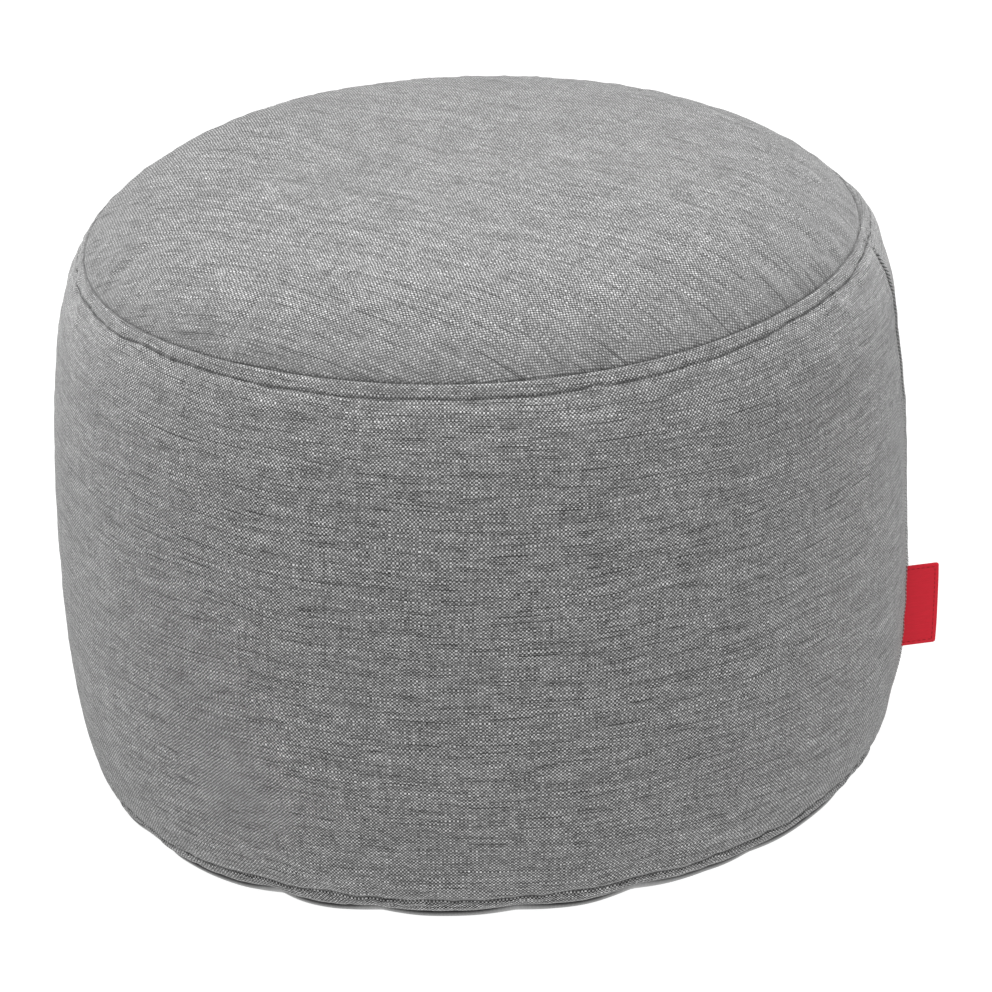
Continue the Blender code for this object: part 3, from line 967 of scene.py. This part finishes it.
long_stitch = model_stitch(STITCH_LENGTH, THREAD_WIDTH)
row_step = STITCH_PITCH / ROW_RADIUS
row_angles = np.arange(0.0, math.tau - 0.5 * row_step, row_step)
seat_topstitch = wall_stitches(
    "seat_topstitch", long_stitch, wall_line.length - stitch_line(row_angles, "top"), row_angles,
    sunk=0.00010)
hem_topstitch = wall_stitches(
    "hem_topstitch", long_stitch, stitch_line(row_angles, "hem"), row_angles, sunk=0.00030)
slant_stitch = model_stitch(SEAM_STITCH, SEAM_WIDTH)
seam_up = np.arange(SEAM_FROM, wall_line.length - SEAM_SHORT, SEAM_PITCH)
seam_stitches = [
    wall_stitches(name, slant_stitch, places, closing_angle(places), SEAM_SLANT,
                  -SEAM_PROUD - SEAM_FILL * seam_shows(places), SEAM_TILT)
    for name, places in (("seam_stitch_dark", seam_up), ("seam_stitch_pale", seam_up + PALE_AFTER))]

# %% [markdown]
# ## The red tape
#
# A narrow woven tape is folded in half and caught in the closing seam by its two ends.  A
# sheet is drawn as it runs: out along the front leaf, round the fold, and back.  Its outer
# corners are rounded, and it gets its thickness from Solidify.  It carries nothing but a
# border of small stitches.

# %% Fold the tape
TAPE_HEIGHT, TAPE_REACH, TAPE_FOOT = 0.0525, 0.0200, 0.057
TAPE_THICK, TAPE_APART = 0.00045, 0.00036
TAPE_ANGLE = math.radians(7.0)
TAPE_CORNER, TAPE_ROOT, TAPE_CURL, TAPE_SPREAD = 0.0013, 0.0035, 0.0006, 0.06
TAPE_ROWS = 27
TAPE_OUT = Vector((math.cos(TAPE_ANGLE), math.sin(TAPE_ANGLE), 0.0))
TAPE_ASIDE = np.array([-math.sin(TAPE_ANGLE), math.cos(TAPE_ANGLE), 0.0])


def tape_point(out, aside, height):
    """A place on the tape: out from the wall, aside from its middle, and up."""
    root = settled(smooth_curve(height, HEIGHTS, RADII), height, CLOSING_SEAM_ANGLE)
    share = (height - TAPE_FOOT) / TAPE_HEIGHT
    curl = TAPE_CURL * np.sin(math.pi * share) * np.clip(out / TAPE_REACH, 0, 1) ** 2
    out = out * (1.0 + TAPE_SPREAD * (1.0 - share))
    return root + np.multiply.outer(out, TAPE_OUT) + np.multiply.outer(aside + curl, TAPE_ASIDE)


def tape_run():
    """Distance out and aside for a strip that goes out, round the fold and back."""
    straight = TAPE_REACH - TAPE_APART
    out = np.concatenate([np.linspace(-TAPE_ROOT, straight - 0.004, 8),
                          np.linspace(straight - 0.0034, straight, 7)])
    turn = np.linspace(0, math.pi, 9)[1:-1]
    outs = np.concatenate([out, straight + TAPE_APART * np.sin(turn), out[::-1]])
    asides = np.concatenate([np.full(len(out), -TAPE_APART), -TAPE_APART * np.cos(turn),
                             np.full(len(out), TAPE_APART)])
    return outs, asides


outs, asides = tape_run()
run = np.concatenate([[0.0], np.cumsum(np.hypot(np.diff(outs), np.diff(asides)))])
past = np.clip((outs - (TAPE_REACH - TAPE_CORNER)) / TAPE_CORNER, 0.0, 1.0)
trim = TAPE_CORNER * (1.0 - np.sqrt(1.0 - np.minimum(past, 0.985) ** 2))
shares = np.linspace(0.0, 1.0, TAPE_ROWS)
tape_heights = TAPE_FOOT + trim[:, None] + shares * (TAPE_HEIGHT - 2 * trim[:, None])
tape_verts = np.stack([tape_point(np.full(TAPE_ROWS, o), np.full(TAPE_ROWS, a), h)
                       for o, a, h in zip(outs, asides, tape_heights)])
starts = [TAPE_ROWS * i + j for i in range(len(outs) - 1) for j in range(TAPE_ROWS - 1)]
tape_faces = [(at, at + TAPE_ROWS, at + TAPE_ROWS + 1, at + 1) for at in starts]
label_tape = new_object("label_tape", tape_verts.reshape(-1, 3).tolist(), tape_faces)
tape_map = label_tape.data.uv_layers.new(name="weave")
for loop in label_tape.data.loops:
    i, j = divmod(loop.vertex_index, TAPE_ROWS)
    tape_map.data[loop.index].uv = (run[i], tape_heights[i, j])
label_tape.data.shade_smooth()
bpy.ops.object.select_all(action="DESELECT")
bpy.context.view_layer.objects.active = label_tape
label_tape.select_set(True)
thicken = label_tape.modifiers.new("Solidify", "SOLIDIFY")
thicken.thickness, thicken.offset = TAPE_THICK, 0.0
thicken.use_even_offset = True
bpy.ops.object.modifier_apply(modifier="Solidify")
TAPE_FLAT = (float(run[-1]), TAPE_HEIGHT)
print("tape: cut", [round(1000 * side, 1) for side in TAPE_FLAT], "mm,",
      round(1e9 * volume_of(label_tape)), "mm3")

# %% [markdown]
# ## The border of the tape
#
# Three rows of fine stitches, one along the fold and one along each short edge, hold the
# leaves together.  They show on both faces.

# %% Sew the border
BORDER_INSET, BORDER_PITCH, BORDER_LENGTH, BORDER_WIDTH = 0.0022, 0.0030, 0.0021, 0.00045
border_stitch = model_stitch(BORDER_LENGTH, BORDER_WIDTH)
upright = np.arange(BORDER_INSET + 0.0011, TAPE_HEIGHT - BORDER_INSET, BORDER_PITCH)
level = np.arange(0.0016, TAPE_REACH - BORDER_INSET - 0.001, BORDER_PITCH)
border = [(TAPE_REACH - BORDER_INSET, up_it, True) for up_it in upright]
border += [(out, edge, False) for out in level for edge in (BORDER_INSET,
                                                           TAPE_HEIGHT - BORDER_INSET)]
surface = TAPE_APART + 0.5 * TAPE_THICK + 0.00004
places, along, outward = [], [], []
for side in (-1.0, 1.0):
    for out, up_it, is_upright in border:
        places.append(tape_point(out, side * surface, TAPE_FOOT + up_it))
        along.append((0.0, 0.0, 1.0) if is_upright else tuple(TAPE_OUT))
        outward.append(side * TAPE_ASIDE)
label_stitch = lay_stitches("label_stitch", border_stitch, np.array(places), np.array(along),
                            np.array(outward))

# %% [markdown]
# ## Shader sums in plain Python
#
# A weave is mostly arithmetic.  Math nodes wired by hand are hard to read, so one small
# class wraps a socket: a sum written on it in Python adds the Math node that works it out,
# and node() adds any other node.


# %% Wrap a socket
class Wire:
    """One output socket of a shader: sums on it add Math nodes, node() adds any other."""

    def __init__(self, tree, socket=None):
        self.tree, self.socket = tree, socket

    def node(self, kind, settings=None, inputs=None, output=0):
        """Add a node: its settings first, then the values or wires of its inputs."""
        added = self.tree.nodes.new(kind)
        for name, value in (settings or {}).items():
            setattr(added, name, value)
        for name, value in (inputs or {}).items():
            if isinstance(value, Wire):
                self.tree.links.new(value.socket, added.inputs[name])
            else:
                added.inputs[name].default_value = value
        return Wire(self.tree, added.outputs[output])

    def sum(self, operation, *values):
        """Add one Math node."""
        return self.node("ShaderNodeMath", {"operation": operation}, dict(enumerate(values)))

    __add__ = __radd__ = lambda self, other: self.sum("ADD", self, other)
    __sub__ = lambda self, other: self.sum("SUBTRACT", self, other)
    __rsub__ = lambda self, other: self.sum("SUBTRACT", other, self)
    __mul__ = __rmul__ = lambda self, other: self.sum("MULTIPLY", self, other)
    __truediv__ = lambda self, other: self.sum("DIVIDE", self, other)
    __pow__ = lambda self, other: self.sum("POWER", self, other)

    def noise(self, vector, scale, detail=1.0, roughness=0.5):
        """Soft noise from 0 to 1 over a plane, one half on average."""
        return self.node("ShaderNodeTexNoise", {"noise_dimensions": "2D"},
                         {"Vector": vector, "Scale": scale, "Detail": detail,
                          "Roughness": roughness})

    def plane(self, x, y):
        """A flat place from its x and y."""
        return self.node("ShaderNodeCombineXYZ", None, {"X": x, "Y": y})

    def parts(self, vector, count):
        """The first parts of a vector or a colour, as wires of their own."""
        return [self.node("ShaderNodeSeparateXYZ", None, {0: vector}, output=k)
                for k in range(count)]

    def between(self, low, high, a, b):
        """Stretch a wire from low..high to a..b, held at both ends."""
        return self.node("ShaderNodeMapRange", None,
                         {"Value": self, "From Min": low, "From Max": high,
                          "To Min": a, "To Max": b})


def finish_with(name, roughness, sheen=0.0, sheen_roughness=0.5, level=0.3):
    """A new material, and a wire to start its sums from."""
    material = bpy.data.materials.new(name)
    material.use_nodes = True
    shader = material.node_tree.nodes["Principled BSDF"]
    shader.inputs["Roughness"].default_value = roughness
    shader.inputs["Sheen Weight"].default_value = sheen
    shader.inputs["Sheen Roughness"].default_value = sheen_roughness
    shader.inputs["Specular IOR Level"].default_value = level
    return material, Wire(material.node_tree)


def feed(material, name, wire):
    """Join a wire to a socket of the material's shader."""
    shader = material.node_tree.nodes["Principled BSDF"]
    material.node_tree.links.new(wire.socket, shader.inputs[name])


def feed_bump(material, height, strength, distance):
    """Let a wire of heights bend the light."""
    feed(material, "Normal", height.node("ShaderNodeBump", None, {
        "Strength": strength, "Distance": distance, "Height": height}))


def feed_two_tones(material, share, one, other):
    """Colour a material from one colour to another, as a wire says.

    A Mix node has its two colours in sockets 6 and 7, and the mixed one in output 2.
    """
    feed(material, "Base Color", share.node(
        "ShaderNodeMix", {"data_type": "RGBA"}, {"Factor": share, 6: one, 7: other}, output=2))


print("a wire can be added to, multiplied and raised, and can add any node")

# %% [markdown]
# ## The grey cloth: laying the yarns
#
# It is a plain weave: each yarn goes over one and under the next, so over and under make a
# chequerboard, a little over one millimetre to the square.  Each square is found by rounding
# the flat place down to a whole yarn.  Some yarns are thicker than others, and none is quite
# straight, so the flat place is bent by noise first.  An image of cloth would be simpler, but
# it would blur close up and repeat from afar.

# %% Lay the yarns
WARP_SPACING, WEFT_SPACING = 0.00112, 0.00108
YARN_WANDER, CLOTH_BOW, THICK_AND_THIN = 0.0005, 0.0040, 1.0


def lay_yarns(start):
    """Places on the flat cloth, places in yarns, whole yarns, which is over, and the bulge."""
    flat = start.node("ShaderNodeUVMap", {"uv_map": "weave"})
    x, y = start.parts(flat, 2)
    bow = start.noise(flat, 14.0, 0.0)
    bend_x = start.noise(flat, 70.0)
    bend_y = start.noise(start.plane(x + 3.7, y + 1.9), 70.0)
    a = (x + (bend_x - 0.5) * YARN_WANDER) / WARP_SPACING
    b = (y + (bend_y - 0.5) * YARN_WANDER + (bow - 0.5) * CLOTH_BOW) / WEFT_SPACING
    thick_a = start.noise(start.plane(a * 0.55, b * 0.015), 1.0, 1.0)
    thick_b = start.noise(start.plane(b * 0.55 + 50.0, a * 0.015), 1.0, 1.0)
    a, b = a + (thick_a - 0.5) * THICK_AND_THIN, b + (thick_b - 0.5) * THICK_AND_THIN
    warp, weft = a.sum("FLOOR", a), b.sum("FLOOR", b)
    over = (warp + weft).sum("PINGPONG", warp + weft, 1.0)
    round_a = a.sum("COSINE", (a - warp - 0.5) * math.pi)
    round_b = a.sum("COSINE", (b - weft - 0.5) * math.pi)
    warp_bulge = round_a * round_b**0.5
    weft_bulge = round_b * round_a**0.5
    bulge = weft_bulge + over * (warp_bulge - weft_bulge)
    return (x, y), (a, b), (warp, weft), over, bulge


print("yarns in a hand's breadth of 85 mm:", round(0.085 / WARP_SPACING))

# %% [markdown]
# ## The grey cloth: the tone of the yarns
#
# The yarns are spun from dark and pale fibres, so each is dark in one stretch and pale in
# another, and the ones that cross the cloth from side to side are the more uneven.  Those
# stretches are the fine streaks of the cloth.  The tone is read from noise drawn out along
# each yarn, and every yarn starts at a place of its own in it.

# %% Tone the yarns
WARP_TONE, WEFT_TONE, GAP_DARK = 0.090, 0.41, 0.50


def own(start, number):
    """A number from 0 to 1 that belongs to each whole number."""
    return start.node("ShaderNodeTexWhiteNoise", {"noise_dimensions": "1D"}, {"W": number})


def yarn_noise(start, yarn, along, stretch, detail):
    """Noise drawn out along each yarn."""
    return start.noise(start.plane(along * stretch + yarn * 90.0, yarn * 431.0), 1.0, detail)


def tone_yarns(start, places, yarns, over, bulge, uneven):
    """How pale the cloth is, from its darkest gap to its palest yarn."""
    (a, b), (warp, weft) = places, yarns
    own_warp = own(start, warp + 0.5)
    along_weft = yarn_noise(start, own(start, weft), a, 0.036, 2.0)
    along_warp = start.noise(start.plane(own_warp * 431.0, b * 0.055 + own_warp * 90.0), 1.0, 1.0)
    square = start.node("ShaderNodeTexWhiteNoise", {"noise_dimensions": "2D"},
                        {"Vector": start.plane(warp, weft)})
    pale = along_weft.between(0.30, 0.70, 1.0 - 0.36 * uneven, 1.0 + 0.36 * uneven)
    weft_tone = WEFT_TONE * pale * (1.0 + 0.60 * (square - 0.5) + 0.36 * (along_warp - 0.5))
    warp_tone = WARP_TONE * (1.0 + 0.95 * (along_warp - 0.5) + 0.7 * (square - 0.5))
    tone = weft_tone + over * (warp_tone - weft_tone)
    return tone * (GAP_DARK + (1.0 - GAP_DARK) * bulge)


print("tones of the two sets of yarns:", WARP_TONE, WEFT_TONE)

# %% [markdown]
# ## The grey cloth: gaps and folds
#
# Here and there two yarns lie apart, and a thin dark line shows between them.  At the rim of
# the seat some yarns are drawn in by the seam, and the painted shade of a thin fold runs along
# them for a couple of centimetres.

# %% Open the gaps and paint fold shade at the rim
GAP_DEPTH, PAINTED_FOLD_SHADE, FOLD_REACH = 0.62, 0.86, 0.026


def open_gaps(start, tone, places):
    """Darken the lines where two yarns lie apart."""
    a, b = places
    between = (b + 0.5).sum("FLOOR", b + 0.5)
    off_gap = (b - between).sum("ABSOLUTE", b - between)
    opened = yarn_noise(start, own(start, between + 0.25), a, 0.045, 1.0)
    thin = off_gap.between(0.10, 0.30, 1.0, 0.0) * opened.between(0.55, 0.63, 0.0, 1.0)
    return tone * (1.0 - GAP_DEPTH * thin), between, off_gap


def paint_rim_fold_shade(start, tone, flat, between, off_gap, rim):
    """Paint the shade of thin folds on some of the same lines, close to the edge of a round panel.
    """
    x, y = flat
    from_rim = rim - (x * x + y * y) ** 0.5
    picked = own(start, between + 0.75).between(0.88, 0.92, 0.0, 1.0)
    reach = FOLD_REACH * (0.3 + own(start, between + 0.5))
    # Painted shade of thin folds near the rim.
    fold = off_gap.between(0.20, 0.46, 1.0, 0.0) * picked * (from_rim / reach).between(
        0.6, 1.0, 1.0, 0.0)
    return tone * (1.0 - PAINTED_FOLD_SHADE * fold)


print("folds reach", round(1000 * FOLD_REACH), "mm in from the seam at most, or a little more")

# %% [markdown]
# ## The grey cloth: putting it together
#
# The tone is set by the yarns, then by the marks on the panel: contrast first, then the painted
# highlight of the turned edge, then the painted shade of the creases and the other painted
# shade.  A bump of the same yarns bends the light, and a sheen stands for the fine fuzz that
# spun yarn has.

# %% Weave the grey cloth
# Painted shade tone of creases, painted highlight tone of the turned edge, how much of it shows.
PAINTED_CREASE_SHADE_TONE, PAINTED_EDGE_HIGHLIGHT, MEAN_TONE, PAINTED_HIGHLIGHT_SHOWS = 0.025, 0.36, 0.15, 0.85


def weave_cloth(name, shade, uneven, contrast, rim=0.0):
    """The heathered cloth: its tone with painted light and shade, how uneven its yarns are, how
    they differ, and its rim.
    """
    material, start = finish_with(name, 0.9, sheen=0.35, sheen_roughness=0.45, level=0.25)
    flat, places, yarns, over, bulge = lay_yarns(start)
    tone = tone_yarns(start, places, yarns, over, bulge, uneven)
    tone, between, off_gap = open_gaps(start, tone, places)
    if rim:
        tone = paint_rim_fold_shade(start, tone, flat, between, off_gap, rim)
    marks = start.node("ShaderNodeAttribute", {"attribute_name": "looks"}, output=1)
    clear = start.node("ShaderNodeAttribute", {"attribute_name": "looks"}, output=3)
    crease, turned, shaded = start.parts(marks, 3)
    tone = (tone - MEAN_TONE) * clear * contrast + MEAN_TONE
    # Painted highlight: the turned edge goes pale.
    tone = tone + turned * PAINTED_HIGHLIGHT_SHOWS * (PAINTED_EDGE_HIGHLIGHT - tone)
    # Painted shade: creases go dark, and the shade marks darken the rest.
    feed(material, "Base Color", (tone + crease * (PAINTED_CREASE_SHADE_TONE - tone)) * shaded * shade)
    feed_bump(material, bulge * clear, 0.6, 0.00035)
    return material


# Wall and seat are one cloth; shades of 1.21 and 0.98 paint the wall lighter and the seat darker.
wall_weave = weave_cloth("wall_weave", 1.21, 0.76, 1.10)
seat_weave = weave_cloth("seat_weave", 0.98, 0.76, 1.16, rim=seat_line.length)
wall_cloth.data.materials.append(wall_weave)
seat_cloth.data.materials.append(seat_weave)
base_cloth.data.materials.append(wall_weave)
print("weave:", len(wall_weave.node_tree.nodes), "nodes")

# %% [markdown]
# ## Thread and tape
#
# The thread matches the cloth.  It is two plies twisted together, so fine slanting lines run
# round it, drawn here on its place in space because each stitch is far smaller than the
# pattern of the cloth.  The tape is woven like a ribbon: fine level ribs with a soft shine,
# and a red that is a little deeper between them.

# %% Finish the thread and the tape
RIB_SPACING, RIB_YARN = 0.00042, 0.00056
TAPE_DEEP, TAPE_RED = (0.57, 0.008, 0.021, 1.0), (0.79, 0.018, 0.042, 1.0)
FINE_BUMP = 0.0001


def thread_finish(name, colour, sheen):
    """Twisted thread of one colour, a little uneven."""
    material, start = finish_with(name, 0.75, sheen=sheen, sheen_roughness=0.4, level=0.3)
    place = start.node("ShaderNodeTexCoord", output="Object")
    fibres = start.node("ShaderNodeTexNoise", None, {"Vector": place, "Scale": 1800.0,
                                                     "Detail": 2.0})
    dark, light = ([part * factor for part in colour] + [1.0] for factor in (0.72, 1.2))
    feed_two_tones(material, fibres, dark, light)
    plies = start.node("ShaderNodeTexWave", {"wave_type": "BANDS", "bands_direction": "DIAGONAL"},
                       {"Vector": place, "Scale": 700.0, "Distortion": 1.0}, output=1)
    feed_bump(material, plies, 0.5, FINE_BUMP)
    return material


def tape_finish(name):
    """Ribbed red ribbon."""
    material, start = finish_with(name, 0.55, level=0.2)
    x, y = start.parts(start.node("ShaderNodeUVMap", {"uv_map": "weave"}), 2)
    rib = (y * (math.tau / RIB_SPACING)).sum("SINE", y * (math.tau / RIB_SPACING))
    yarn = (x * (math.tau / RIB_YARN)).sum("SINE", x * (math.tau / RIB_YARN))
    height = rib * 0.35 + yarn * 0.15 + 0.5
    uneven = start.noise(start.plane(x * 150.0, y * 900.0), 1.0, 2.0)
    feed_two_tones(material, height * 0.5 + uneven * 0.5, TAPE_DEEP, TAPE_RED)
    feed(material, "Roughness", 0.48 + uneven * 0.16)
    feed_bump(material, height, 0.5, FINE_BUMP)
    return material


DARK_GREY, PALE_GREY, DEEP_RED = (0.085,) * 3, (0.36,) * 3, (0.36, 0.006, 0.014)
grey_thread = thread_finish("grey_thread", DARK_GREY, 0.1)
label_tape.data.materials.append(tape_finish("red_tape"))
label_stitch.data.materials.append(thread_finish("red_thread", DEEP_RED, 0.0))
seat_topstitch.data.materials.append(grey_thread)
hem_topstitch.data.materials.append(grey_thread)
seam_stitches[0].data.materials.append(thread_finish("dark_thread", DARK_GREY, 0.0))
seam_stitches[1].data.materials.append(thread_finish("pale_thread", PALE_GREY, 0.2))
print("materials:", sorted(m.name for m in bpy.data.materials if m.users))

# %% [markdown]
# ## Putting it on the frame
#
# Each piece rides on the body named root, and the solids that the cloth and the tape stand for
# are hidden.  The three panels are padded, and the tape is a folded sheet.

# %% Dress the frame
for panel, node in ((wall_cloth, "side_panel"), (seat_cloth, "seat_panel"),
                    (base_cloth, "base_panel")):
    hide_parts(node)
thread_rows = (seat_topstitch, hem_topstitch, *seam_stitches)
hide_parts("label")
for piece in (wall_cloth, seat_cloth, base_cloth, *thread_rows, label_tape, label_stitch):
    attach(piece, "root")
